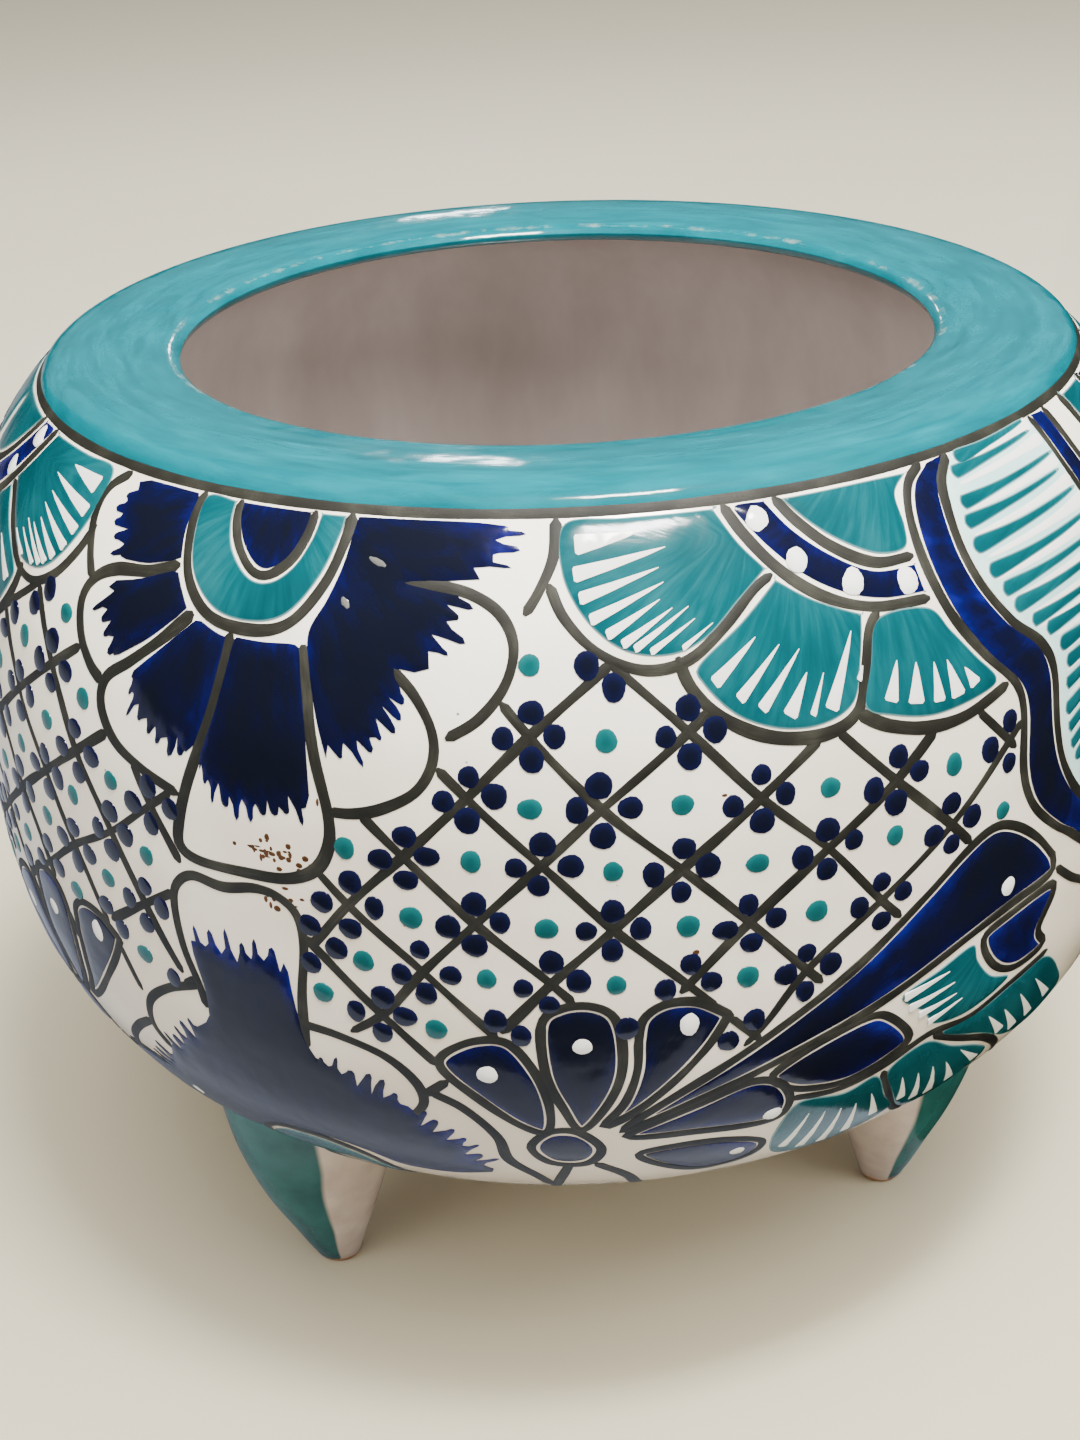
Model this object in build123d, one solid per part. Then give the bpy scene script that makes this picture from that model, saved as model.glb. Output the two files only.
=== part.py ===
from build123d import *
import os
from math import acos, cos, radians, sin

# Footed talavera planter: a squat thrown belly, a flat rolled rim and three feet luted underneath.
# Frame: origin on the ground on the pot's axis, +Z up, lengths in millimetres.

# Belly: two superellipse quarters that meet at the equator
BELLY_R = 150.0
EQUATOR_Z = 154.0
BELLY_BOTTOM_Z = 47.6
SHOULDER_R = 125.0
SHOULDER_Z = 235.0
UPPER_POWER = 2.96
LOWER_POWER = 3.03
WALL = 8.0
JOINT_SLOPE = 43.0        # degrees down from level, of the belly where the rim is luted on
BASE_DISC_R = 40.0
OUTLINE_SPANS = 8

# Rim: a collar that turns in from the shoulder to the mouth, its half section as (r, z)
RIM_EDGE = (122.7, 238.3)
RIM_CROWN = (112.0, 240.0)
LIP_TOP = (94.2, 238.2)
LIP_NOSE = (91.2, 235.9)
LIP_UNDER = (94.0, 233.4)
SOFFIT = (108.0, 231.2)

# Feet: three bells, pad down, that lean outwards a little and fade into the belly
FOOT_CIRCLE_R = 87.0
FIRST_FOOT_ANGLE = -140.5
FOOT_NAMES = ("foot_front_left", "foot_front_right", "foot_rear")
FOOT_LEAN = 5.0
FOOT_BELOW = 6.0
FOOT_OUTLINE = ((3.6, -FOOT_BELOW), (6.0, 0.0), (11.6, 15.0), (17.4, 31.0), (21.5, 50.0), (23.5, 82.0))
FOOT_BLOCK = 120.0


def upper_height():
    """Height of the upper quarter's pole over the equator, so that it passes through the shoulder."""
    rise = (1 - (SHOULDER_R / BELLY_R) ** UPPER_POWER) ** (1 / UPPER_POWER)
    return (SHOULDER_Z - EQUATOR_Z) / rise


def quarter(radius, height, power, start_r, end_r):
    """Points (r, height over or under the equator) of a superellipse quarter between two radii."""
    start = acos((start_r / radius) ** (power / 2))
    end = acos((end_r / radius) ** (power / 2))
    points = []
    for span in range(OUTLINE_SPANS + 1):
        angle = start + (end - start) * span / OUTLINE_SPANS
        points.append((radius * cos(angle) ** (2 / power), height * sin(angle) ** (2 / power)))
    return points


def belly_side(inset, shoulder_r):
    """Outline from the shoulder down to the base disc, moved inwards by the inset."""
    radius = BELLY_R - inset
    above = quarter(radius, upper_height() - inset, UPPER_POWER, shoulder_r, radius)
    below = quarter(radius, EQUATOR_Z - BELLY_BOTTOM_Z - inset, LOWER_POWER, radius, BASE_DISC_R)
    points = [(r, EQUATOR_Z + rise) for r, rise in above]
    points += [(r, EQUATOR_Z - drop) for r, drop in below[1:]]
    return points


def inner_shoulder():
    """Where the inside of the belly meets the rim."""
    return belly_side(WALL, SHOULDER_R - WALL * sin(radians(JOINT_SLOPE)))[0]


def at(point):
    """A half-section point (r, z) placed on the XZ plane."""
    return (point[0], 0, point[1])


def outline_edge(points):
    """A smooth edge through half-section points."""
    return Spline(*[at(point) for point in points])


def turned(edges):
    """The solid swept by a closed half section turned about the axis."""
    face = make_face(edges)
    return revolve(face, axis=Axis.Z, revolution_arc=360)


def body_shell():
    outside = belly_side(0.0, SHOULDER_R)
    inside = belly_side(WALL, inner_shoulder()[0])
    edges = [
        outline_edge(outside),
        Line(at(outside[-1]), (0, 0, outside[-1][1])),
        Line((0, 0, outside[-1][1]), (0, 0, inside[-1][1])),
        Line((0, 0, inside[-1][1]), at(inside[-1])),
        outline_edge(inside),
        Line(at(inside[0]), at(outside[0])),
    ]
    return turned(edges)


def rim_collar():
    shoulder = (SHOULDER_R, SHOULDER_Z)
    soffit_end = inner_shoulder()
    edges = [
        outline_edge([shoulder, RIM_EDGE, RIM_CROWN, LIP_TOP]),
        ThreePointArc(at(LIP_TOP), at(LIP_NOSE), at(LIP_UNDER)),
        outline_edge([LIP_UNDER, SOFFIT, soffit_end]),
        Line(at(soffit_end), at(shoulder)),
    ]
    return turned(edges)


def solid_belly():
    """The belly with no hollow, used to seat the feet on its outside."""
    outside = belly_side(0.0, SHOULDER_R)
    edges = [
        outline_edge(outside),
        Line(at(outside[-1]), (0, 0, outside[-1][1])),
        Line((0, 0, outside[-1][1]), (0, 0, SHOULDER_Z)),
        Line((0, 0, SHOULDER_Z), at(outside[0])),
    ]
    return turned(edges)


def foot_blank():
    """One leaning bell, cut level with the ground at the origin and tall enough to run into the belly."""
    low, high = FOOT_OUTLINE[0], FOOT_OUTLINE[-1]
    edges = [
        Line((0, 0, low[1]), at(low)),
        outline_edge(FOOT_OUTLINE),
        Line(at(high), (0, 0, high[1])),
        Line((0, 0, high[1]), (0, 0, low[1])),
    ]
    ground = Pos(0, 0, -FOOT_BLOCK / 2) * Box(FOOT_BLOCK, FOOT_BLOCK, FOOT_BLOCK)
    return Rot(0, FOOT_LEAN, 0) * turned(edges) - ground


def feet():
    """The three feet, each cut to the belly that it is luted to."""
    belly = solid_belly()
    made = {}
    for index, name in enumerate(FOOT_NAMES):
        angle = FIRST_FOOT_ANGLE + index * 360 / len(FOOT_NAMES)
        place = Rot(0, 0, angle) * Pos(FOOT_CIRCLE_R, 0, 0)
        made[name] = place * foot_blank() - belly
    return made


def main():
    os.makedirs("parts", exist_ok=True)
    pieces = {"body_shell": body_shell(), "rim_collar": rim_collar()}
    pieces.update(feet())
    for node, shape in pieces.items():
        export_step(shape, f"parts/{node}.step")


main()
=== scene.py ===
import math
import random

import bpy
import numpy as np
from mathutils import Matrix, Vector
from mathutils.geometry import delaunay_2d_cdt


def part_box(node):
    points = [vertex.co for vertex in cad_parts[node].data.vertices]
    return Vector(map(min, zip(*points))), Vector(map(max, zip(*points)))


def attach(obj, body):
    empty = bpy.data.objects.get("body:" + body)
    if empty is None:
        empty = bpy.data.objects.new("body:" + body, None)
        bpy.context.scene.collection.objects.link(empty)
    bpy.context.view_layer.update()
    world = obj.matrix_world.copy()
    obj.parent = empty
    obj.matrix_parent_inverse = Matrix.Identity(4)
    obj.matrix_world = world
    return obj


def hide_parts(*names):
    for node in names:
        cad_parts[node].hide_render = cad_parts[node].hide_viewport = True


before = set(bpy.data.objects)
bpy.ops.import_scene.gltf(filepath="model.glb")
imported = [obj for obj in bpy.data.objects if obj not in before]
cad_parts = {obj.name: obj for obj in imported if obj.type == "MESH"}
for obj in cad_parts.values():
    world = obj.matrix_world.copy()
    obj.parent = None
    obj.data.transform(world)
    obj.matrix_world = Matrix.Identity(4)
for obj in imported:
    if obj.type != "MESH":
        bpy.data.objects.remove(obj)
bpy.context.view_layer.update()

# A squat footed planter of tin-glazed earthenware: white ground, matte dark outlines, raised enamels.
# Lengths are in millimetres on the pot and become metres when a mesh is made.
# The painting is laid out on a chart of the belly: u runs round the belly, measured at its widest,
# with 0 at the front, and s runs down over the surface from the line under the rim.

MM = 0.001

# ---------------------------------------------------------------- the pot's form

SHELL_LOW, SHELL_HIGH = (np.array(corner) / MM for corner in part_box("body_shell"))
RIM_HIGH = np.array(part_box("rim_collar")[1]) / MM
ENAMEL_ROOM = 0.75
UNDER_ROOM = 0.3
CROWN_ROOM = 0.5
SHOULDER_RISE = 81.0
BELLY_R = SHELL_HIGH[0]
SURFACE_R = BELLY_R - ENAMEL_ROOM
SHOULDER_R = RIM_HIGH[0] - ENAMEL_ROOM
SHOULDER_Z = SHELL_HIGH[2]
EQUATOR_Z = SHOULDER_Z - SHOULDER_RISE
BOTTOM_Z = SHELL_LOW[2] + UNDER_ROOM
CROWN_Z = RIM_HIGH[2] - CROWN_ROOM
UPPER_POWER = 2.96
LOWER_POWER = 3.03
WALL = 8.0
ROUND = 2 * math.pi * BELLY_R
TURNS = 288
QUARTER_STEPS = 90

RIM_OUTSIDE = ((94.2, CROWN_Z - 1.7), (103.0, CROWN_Z - 0.45), (112.0, CROWN_Z), (119.0, CROWN_Z - 0.7),
               (122.6, CROWN_Z - 2.3), (SHOULDER_R, SHOULDER_Z))
RIM_INSIDE = ((94.2, CROWN_Z - 1.7), (92.4, CROWN_Z - 2.4), (91.4, CROWN_Z - 3.9), (92.2, CROWN_Z - 5.6),
              (94.4, CROWN_Z - 6.2), (108.0, CROWN_Z - 8.4))


def smooth(points, step, closed=False):
    """Even steps along a smooth curve through the points. A point given twice makes a corner."""
    spots = np.array(points, float)
    if closed:
        guide = np.vstack([spots[-1:], spots, spots[:2]])
    else:
        guide = np.vstack([2 * spots[:1] - spots[1:2], spots, 2 * spots[-1:] - spots[-2:-1]])
    part = np.linspace(0, 1, 10, endpoint=False)[:, None]
    runs = []
    for a, b, c, d in zip(guide, guide[1:], guide[2:], guide[3:]):
        bend = (2 * a - 5 * b + 4 * c - d) * part ** 2 + (3 * b - a - 3 * c + d) * part ** 3
        runs.append(0.5 * (2 * b + (c - a) * part + bend))
    curve = np.vstack(runs + [spots[:1] if closed else spots[-1:]])
    gaps = np.linalg.norm(np.diff(curve, axis=0), axis=1)
    curve = curve[np.append(True, gaps > 1e-5)]
    along = np.append(0, np.cumsum(np.linalg.norm(np.diff(curve, axis=0), axis=1)))
    even = np.linspace(0, along[-1], max(3, int(round(along[-1] / step)) + 1))
    steps = np.column_stack([np.interp(even, along, curve[:, axis]) for axis in (0, 1)])
    return steps[:-1] if closed else steps


def quarter(radius, height, power, start_r, end_r):
    """Points (r, distance from the equator) of a superellipse quarter between two radii."""
    start = math.acos((start_r / radius) ** (power / 2))
    end = math.acos((end_r / radius) ** (power / 2))
    angle = np.linspace(start, end, QUARTER_STEPS)
    return radius * np.cos(angle) ** (2 / power), height * np.sin(angle) ** (2 / power)


def belly_outline(inset, top_r):
    """The belly's outline (r, z) from a radius under the rim down to the axis, moved in by the inset."""
    radius = SURFACE_R - inset
    rise = (1 - (SHOULDER_R / SURFACE_R) ** UPPER_POWER) ** (1 / UPPER_POWER)
    above_r, above = quarter(radius, (SHOULDER_Z - EQUATOR_Z) / rise - inset, UPPER_POWER, top_r, radius)
    below_r, below = quarter(radius, EQUATOR_Z - BOTTOM_Z - inset, LOWER_POWER, radius, 1.0)
    outline_r = np.concatenate([above_r, below_r[1:]])
    outline_z = np.concatenate([EQUATOR_Z + above, EQUATOR_Z - below[1:]])
    return np.column_stack([outline_r, outline_z])


def outline_table():
    """Radius, height and slope of the outside at each surface distance s, negative up on the rim."""
    rim = smooth(RIM_OUTSIDE, 0.5)
    spots = np.vstack([rim[:-1], belly_outline(0.0, SHOULDER_R)])
    along = np.append(0, np.cumsum(np.linalg.norm(np.diff(spots, axis=0), axis=1)))
    along -= along[len(rim) - 1]
    return along, spots[:, 0], spots[:, 1], np.gradient(spots[:, 0], along), np.gradient(spots[:, 1], along)


TABLE_S, TABLE_R, TABLE_Z, SLOPE_R, SLOPE_Z = outline_table()


def uneven(angle, radius, height):
    """The hand-made form: the true round (angle, r, z) with its slow waves, as x, y, z in millimetres."""
    hold = np.clip(radius / 60.0, 0, 1)
    out = (0.42 * np.sin(2 * angle + 0.7) + 0.22 * np.sin(3 * angle + 2.2)
           + 0.14 * np.sin(5 * angle + 0.031 * height))
    out = (out + 0.07 * np.sin(0.33 * height + angle) - 0.85) * hold
    high = np.clip((height - 150.0) / 90.0, 0, 1)
    rise = 0.3 * (np.sin(2 * angle + 1.4) - 1) * high
    return np.column_stack([(radius + out) * np.sin(angle), -(radius + out) * np.cos(angle), height + rise])


def on_pot(chart, lift):
    """Points of the chart (u, s), raised over the glaze by the lift, as x, y, z in millimetres."""
    chart = np.asarray(chart, float)
    s = chart[:, 1]
    radius = np.interp(s, TABLE_S, TABLE_R) - np.interp(s, TABLE_S, SLOPE_Z) * lift
    height = np.interp(s, TABLE_S, TABLE_Z) + np.interp(s, TABLE_S, SLOPE_R) * lift
    return uneven(chart[:, 0] / BELLY_R, radius, height)


# ---------------------------------------------------------------- glazes and enamels


class Recipe:
    """A glaze being mixed: a material with its nodes added one by one."""

    def __init__(self, name):
        self.material = bpy.data.materials.new(name)
        self.material.use_nodes = True
        self.tree = self.material.node_tree
        self.shader = self.tree.nodes["Principled BSDF"]

    def node(self, kind, inputs=(), **settings):
        made = self.tree.nodes.new(kind)
        for key, value in settings.items():
            setattr(made, key, value)
        for key, value in dict(inputs).items():
            self.join(made.inputs[key], value)
        return made

    def join(self, socket, value):
        if isinstance(value, bpy.types.NodeSocket):
            self.tree.links.new(value, socket)
        else:
            socket.default_value = value

    def place(self, map_name=None, scale=(1, 1, 1)):
        """Where the pattern is read: the piece's own brush map, or its place on the pot."""
        if map_name:
            source = self.node("ShaderNodeUVMap", uv_map=map_name).outputs["UV"]
        else:
            source = self.node("ShaderNodeTexCoord").outputs["Object"]
        return self.node("ShaderNodeMapping", {"Vector": source, "Scale": scale}).outputs["Vector"]

    def noise(self, where, scale, detail=3.0, rough=0.5, warp=0.0):
        facts = {"Vector": where, "Scale": scale, "Detail": detail, "Roughness": rough, "Distortion": warp}
        return self.node("ShaderNodeTexNoise", facts).outputs["Fac"]

    def ramp(self, value, *stops):
        ramp = self.node("ShaderNodeValToRGB", {"Fac": value})
        elements = ramp.color_ramp.elements
        while len(elements) < len(stops):
            elements.new(0.5)
        for element, (position, colour) in zip(elements, stops):
            element.position = position
            element.color = colour if len(colour) == 4 else (*colour, 1)
        return ramp.outputs["Color"]

    def mix(self, share, first, second):
        made = self.node("ShaderNodeMix", data_type="RGBA")
        for socket, value in zip((made.inputs[0], made.inputs[6], made.inputs[7]), (share, first, second)):
            self.join(socket, value if isinstance(value, (bpy.types.NodeSocket, float)) else (*value, 1))
        return made.outputs[2]

    def maths(self, operation, *values):
        made = self.node("ShaderNodeMath", operation=operation)
        for socket, value in zip(made.inputs, values):
            self.join(socket, value)
        return made.outputs["Value"]

    def attribute(self, name):
        return self.node("ShaderNodeAttribute", attribute_name=name).outputs["Fac"]

    def bump(self, height, distance, under=None):
        facts = {"Height": height, "Strength": 1.0, "Distance": distance}
        if under:
            facts["Normal"] = under
        return self.node("ShaderNodeBump", facts).outputs["Normal"]

    def finish(self, **sockets):
        for key, value in sockets.items():
            self.join(self.shader.inputs[key.replace("_", " ").title().replace("Ior", "IOR")], value)
        return self.material


def grey(level):
    """A colour without hue, which also stands for a share between 0 and 1."""
    return (level, level, level)


def white_ground():
    """Warm tin white over buff clay: cloudy, faintly rippled, with pinholes and iron specks, and darker and
    warmer low on the pot, partly thin glaze and partly painted shade.
    """
    mix = Recipe("white tin glaze")
    where = mix.place()
    cloud = mix.ramp(mix.noise(where, 18.0, 4.0), (0.34, (0.80, 0.735, 0.61)), (0.66, (0.93, 0.885, 0.775)))
    # Darker and warmer towards the bottom: partly the glaze running thin over the buff clay, partly painted
    # shade of the lower belly.
    height = mix.node("ShaderNodeSeparateXYZ", {"Vector": where}).outputs["Z"]
    height = mix.maths("MULTIPLY_ADD", mix.noise(where, 26.0, 3.0), 0.05, height)
    thin = mix.ramp(mix.maths("MULTIPLY", height, 4.0), (0.30, grey(0.8)), (0.62, grey(0.46)),
                    (0.86, grey(0.14)), (0.98, grey(0.0)))
    cloud = mix.mix(thin, cloud, (0.56, 0.47, 0.37))
    cells = mix.node("ShaderNodeTexVoronoi", {"Vector": where, "Scale": 210.0, "Randomness": 1.0}).outputs
    speck = mix.ramp(cells["Distance"], (0.045, grey(1.0)), (0.075, grey(0.0)))
    chance = mix.ramp(mix.noise(where, 95.0, 1.0), (0.60, grey(0.0)), (0.66, grey(1.0)))
    dirt = mix.maths("MULTIPLY", speck, chance)
    colour = mix.mix(dirt, cloud, (0.16, 0.11, 0.07))
    ripple = mix.bump(mix.noise(where, 42.0, 2.0), 0.00035)
    normal = mix.bump(mix.noise(where, 900.0, 1.0), 0.00001, ripple)
    rough = mix.ramp(mix.noise(where, 60.0, 3.0), (0.35, grey(0.13)), (0.7, grey(0.24)))
    return mix.finish(base_color=colour, roughness=rough, normal=normal, coat_weight=0.25,
                      coat_roughness=0.06)


def inside_glaze():
    """The thin glaze inside, run in streaks down the wall, coloured a dim grey-mauve that is painted shade
    for the hollow.
    """
    mix = Recipe("inside glaze with painted shade")
    where = mix.place(scale=(1, 1, 0.35))
    # The dim grey-mauve is painted shade: the hollow's glaze darkened to stand for the shade inside the pot.
    cloud = mix.ramp(mix.noise(where, 30.0, 4.0, 0.6), (0.3, (0.34, 0.29, 0.27)), (0.7, (0.45, 0.40, 0.375)))
    normal = mix.bump(mix.noise(where, 60.0, 2.0), 0.0004)
    return mix.finish(base_color=cloud, roughness=0.17, normal=normal, coat_weight=0.3, coat_roughness=0.08)


def rim_glaze():
    """Copper turquoise, brushed round the rim in thin and thick streaks and worn pale on the lip."""
    mix = Recipe("turquoise rim glaze")
    brush = mix.place("brush", (1, 6, 1))
    streak = mix.noise(brush, 45.0, 4.0, 0.62, 0.4)
    cloud = mix.noise(mix.place(), 24.0, 3.0)
    body = mix.ramp(streak, (0.28, (0.0, 0.078, 0.100)), (0.52, (0.0, 0.114, 0.144)),
                    (0.78, (0.001, 0.160, 0.198)))
    grey_part = mix.ramp(cloud, (0.4, grey(0.0)), (0.75, grey(0.5)))
    colour = mix.mix(grey_part, body, (0.002, 0.125, 0.150))
    worn = mix.maths("MULTIPLY", mix.attribute("wear"), mix.noise(mix.place(), 130.0, 4.0, 0.7))
    worn = mix.ramp(worn, (0.40, grey(0.0)), (0.66, grey(1.0)))
    colour = mix.mix(worn, colour, (0.20, 0.30, 0.28))
    wave = mix.bump(mix.noise(mix.place(), 55.0, 2.0), 0.0007)
    normal = mix.bump(mix.noise(brush, 140.0, 3.0), 0.00003, wave)
    return mix.finish(base_color=colour, roughness=0.12, normal=normal, specular_ior_level=0.42)


def cobalt_enamel():
    """Cobalt laid thick: nearly black where it pools, ultramarine at the thin torn edges."""
    mix = Recipe("cobalt enamel")
    brush = mix.place("brush", (5, 1, 1))
    streak = mix.noise(brush, 90.0, 4.0, 0.6, 0.3)
    pool = mix.noise(mix.place(), 26.0, 2.0)
    thick = mix.maths("MULTIPLY", mix.maths("MINIMUM", mix.attribute("edge"), 4.0), 0.045)
    depth = mix.maths("MULTIPLY_ADD", streak, 0.5, mix.maths("MULTIPLY_ADD", pool, 0.75, thick))
    colour = mix.ramp(depth, (0.48, (0.006, 0.007, 0.115)), (0.59, (0.0035, 0.004, 0.050)),
                      (0.70, (0.0035, 0.0042, 0.021)), (0.85, (0.004, 0.005, 0.011)))
    wave = mix.bump(mix.noise(mix.place(), 80.0, 2.0), 0.0004)
    normal = mix.bump(streak, 0.00006, wave)
    return mix.finish(base_color=colour, roughness=0.16, normal=normal, specular_ior_level=0.28)


def turquoise_enamel():
    """Copper turquoise in fans: streaked from the middle, deeper where the brush stopped."""
    mix = Recipe("turquoise enamel")
    brush = mix.place("brush", (7, 1, 1))
    streak = mix.noise(brush, 70.0, 4.0, 0.6, 0.3)
    pool = mix.noise(mix.place(), 40.0, 2.0)
    depth = mix.maths("MULTIPLY_ADD", pool, 0.7, mix.maths("MULTIPLY", streak, 0.45))
    colour = mix.ramp(depth, (0.36, (0.001, 0.039, 0.048)), (0.57, (0.0015, 0.060, 0.073)),
                      (0.80, (0.010, 0.104, 0.120)))
    rim = mix.ramp(mix.attribute("edge"), (0.0, grey(0.3)), (0.4, grey(0.0)))
    colour = mix.mix(rim, colour, (0.42, 0.66, 0.66))
    wave = mix.bump(mix.noise(mix.place(), 80.0, 2.0), 0.0004)
    normal = mix.bump(streak, 0.00005, wave)
    return mix.finish(base_color=colour, roughness=0.14, normal=normal, specular_ior_level=0.4)


def plain_enamel(name, thin, thick, spread):
    """A small touch of one enamel, paler where it is thin."""
    mix = Recipe(name)
    cloud = mix.noise(mix.place(), 170.0, 3.0)
    depth = mix.maths("MULTIPLY_ADD", mix.attribute("edge"), spread, mix.maths("MULTIPLY", cloud, 0.6))
    colour = mix.ramp(depth, (0.25, thin), (0.75, thick))
    normal = mix.bump(mix.noise(mix.place(), 160.0, 2.0), 0.00006)
    return mix.finish(base_color=colour, roughness=0.15, normal=normal, specular_ior_level=0.42)


def outline_oxide():
    """Manganese and grease line: matte, dry, grey-green, darker where the brush went twice."""
    mix = Recipe("matte outline")
    brush = mix.place("brush", (1, 7, 1))
    streak = mix.noise(brush, 240.0, 4.0, 0.65)
    blot = mix.noise(mix.place(), 90.0, 3.0)
    shade = mix.maths("MULTIPLY_ADD", blot, 0.7, mix.maths("MULTIPLY", streak, 0.5))
    colour = mix.ramp(shade, (0.40, (0.006, 0.006, 0.0043)), (0.62, (0.0135, 0.0133, 0.0096)),
                      (0.82, (0.038, 0.0365, 0.027)))
    grain = mix.bump(mix.noise(mix.place(), 1300.0, 2.0), 0.00005)
    return mix.finish(base_color=colour, roughness=0.62, normal=grain)


def foot_glaze():
    """Deep teal down the outer side of a foot, bare slip inside, raw clay on the pad."""
    mix = Recipe("foot glaze")
    where = mix.place()
    side = mix.maths("MULTIPLY_ADD", mix.noise(where, 28.0, 2.0), 0.12, mix.attribute("outward"))
    teal = mix.ramp(mix.noise(where, 70.0, 4.0), (0.3, (0.008, 0.060, 0.058)), (0.7, (0.022, 0.115, 0.11)))
    slip = mix.ramp(mix.noise(where, 90.0, 3.0), (0.3, (0.42, 0.34, 0.30)), (0.7, (0.56, 0.48, 0.43)))
    covered = mix.ramp(side, (0.80, grey(0.0)), (0.83, grey(1.0)))
    colour = mix.mix(covered, slip, teal)
    height = mix.node("ShaderNodeSeparateXYZ", {"Vector": where}).outputs["Z"]
    height = mix.maths("MULTIPLY_ADD", mix.noise(where, 300.0, 3.0), 0.002, height)
    bare = mix.ramp(mix.maths("MULTIPLY", height, 100.0), (0.22, grey(1.0)), (0.30, grey(0.0)))
    colour = mix.mix(bare, colour, (0.42, 0.22, 0.12))
    rough = mix.mix(bare, grey(0.18), grey(0.85))
    normal = mix.bump(mix.noise(where, 75.0, 3.0), 0.0006)
    return mix.finish(base_color=colour, roughness=rough, normal=normal)


# ---------------------------------------------------------------- laying enamel on the pot


def add_object(name, places, edges=(), faces=()):
    """A new object in the scene, from places in metres."""
    mesh = bpy.data.meshes.new(name)
    mesh.from_pydata(places, edges, faces)
    piece = bpy.data.objects.new(name, mesh)
    bpy.context.scene.collection.objects.link(piece)
    return piece


def corner_points(mesh):
    """The point at each face corner, in the order that a brush map is kept in."""
    corners = np.empty(len(mesh.loops), int)
    mesh.loops.foreach_get("vertex_index", corners)
    return corners


def note_points(mesh, name, values):
    """Keeps one number for each point, for a glaze to read."""
    mesh.attributes.new(name, "FLOAT", "POINT").data.foreach_set("value", values)


def map_brush(mesh, spots):
    """Keeps the brush's own directions for each face corner, for a glaze to read."""
    mesh.uv_layers.new(name="brush").data.foreach_set("uv", (spots * MM).ravel())


class Coat:
    """Everything laid in one enamel, gathered into one closed mesh."""

    def __init__(self, name, slot, material, edge_lift, full_lift):
        self.name, self.slot, self.material = name, slot, material
        self.edge_lift, self.full_lift = edge_lift, full_lift
        self.places, self.faces, self.edges, self.brush = [], [], [], []
        self.count = 0

    def add(self, places, faces, edge, brush):
        self.places.append(places)
        self.faces += [tuple(corner + self.count for corner in face) for face in faces]
        self.edges.append(edge)
        self.brush.append(brush)
        self.count += len(places)

    def piece(self):
        piece = add_object(self.name, np.vstack(self.places) * MM, faces=self.faces)
        note_points(piece.data, "edge", np.concatenate(self.edges))
        map_brush(piece.data, np.vstack(self.brush)[corner_points(piece.data)])
        settle(piece, self.material)


def settle(piece, material):
    """Gives a finished piece its glaze, its smooth faces and its place in the part."""
    piece.data.materials.append(material)
    bpy.ops.object.select_all(action="DESELECT")
    piece.select_set(True)
    bpy.context.view_layer.objects.active = piece
    bpy.ops.object.shade_smooth_by_angle(angle=math.radians(40))
    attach(piece, "root")


STROKE_SECTION = ((-1.0, -0.9), (-0.93, 0.55), (-0.5, 0.95), (0.0, 1.0), (0.5, 0.95), (0.93, 0.55),
                  (1.0, -0.9))
STROKE_STEP = 1.3
WAVER = 0.1


def stroke(coat, points, width, luck, closed=False):
    """A brushed line: rounded where the brush lands and lifts, a little wider and narrower on its way."""
    path = smooth(points, STROKE_STEP, closed)
    count = len(path)
    along = np.arange(count) * STROKE_STEP
    slow = np.sin(along / luck.uniform(5, 9) + luck.uniform(0, 6))
    quick = np.sin(along / luck.uniform(2, 4))
    half = 0.5 * width * (1 + WAVER * (slow + 0.5 * quick))
    if not closed:
        left = np.minimum(along, along[-1] - along) / (0.5 * width)
        half *= np.sqrt(np.clip(0.12 + left * (2 - left), 0.12, 1) * (left < 1) + (left >= 1))
    middle = on_pot(path, 0.0)
    up = on_pot(path, 1.0) - middle
    if closed:
        ahead = np.roll(middle, -1, axis=0) - np.roll(middle, 1, axis=0)
    else:
        ahead = np.gradient(middle, axis=0)
    across = np.cross(ahead, up)
    across /= np.linalg.norm(across, axis=1)[:, None]
    places, brush = [], []
    for side, rise in STROKE_SECTION:
        lift = coat.full_lift * rise
        places.append(middle + across * (half * side)[:, None] + up * lift)
        brush.append(np.column_stack([along + 37.0 * luck.random(), half * side]))
    wide = len(STROKE_SECTION)
    faces = []
    for here in range(count if closed else count - 1):
        after = (here + 1) % count
        for side in range(wide):
            first, second = side * count, (side + 1) % wide * count
            faces.append((first + here, second + here, second + after, first + after))
    if not closed:
        faces.append(tuple(side * count for side in reversed(range(wide))))
        faces.append(tuple(side * count + count - 1 for side in range(wide)))
    coat.add(np.vstack(places), faces, np.ones(wide * count), np.vstack(brush))


def edge_distance(spots, loop):
    """How far each spot is from the loop that bounds the enamel."""
    start, end = loop, np.roll(loop, -1, axis=0)
    run = end - start
    size = np.maximum((run ** 2).sum(axis=1), 1e-9)
    gap = spots[:, None, :] - start[None]
    share = np.clip((gap * run[None]).sum(axis=2) / size[None], 0, 1)
    return np.sqrt(((gap - share[..., None] * run[None]) ** 2).sum(axis=2)).min(axis=1)


def inside(spots, loop):
    """Which spots lie inside the loop."""
    x, y = spots[:, 0][:, None], spots[:, 1][:, None]
    ax, ay = loop[:, 0][None], loop[:, 1][None]
    bx, by = np.roll(loop, -1, axis=0)[:, 0][None], np.roll(loop, -1, axis=0)[:, 1][None]
    level = (ay > y) != (by > y)
    with np.errstate(divide="ignore", invalid="ignore"):
        cross = x < (bx - ax) * (y - ay) / (by - ay) + ax
    return (level & cross).sum(axis=1) % 2 == 1


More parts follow.
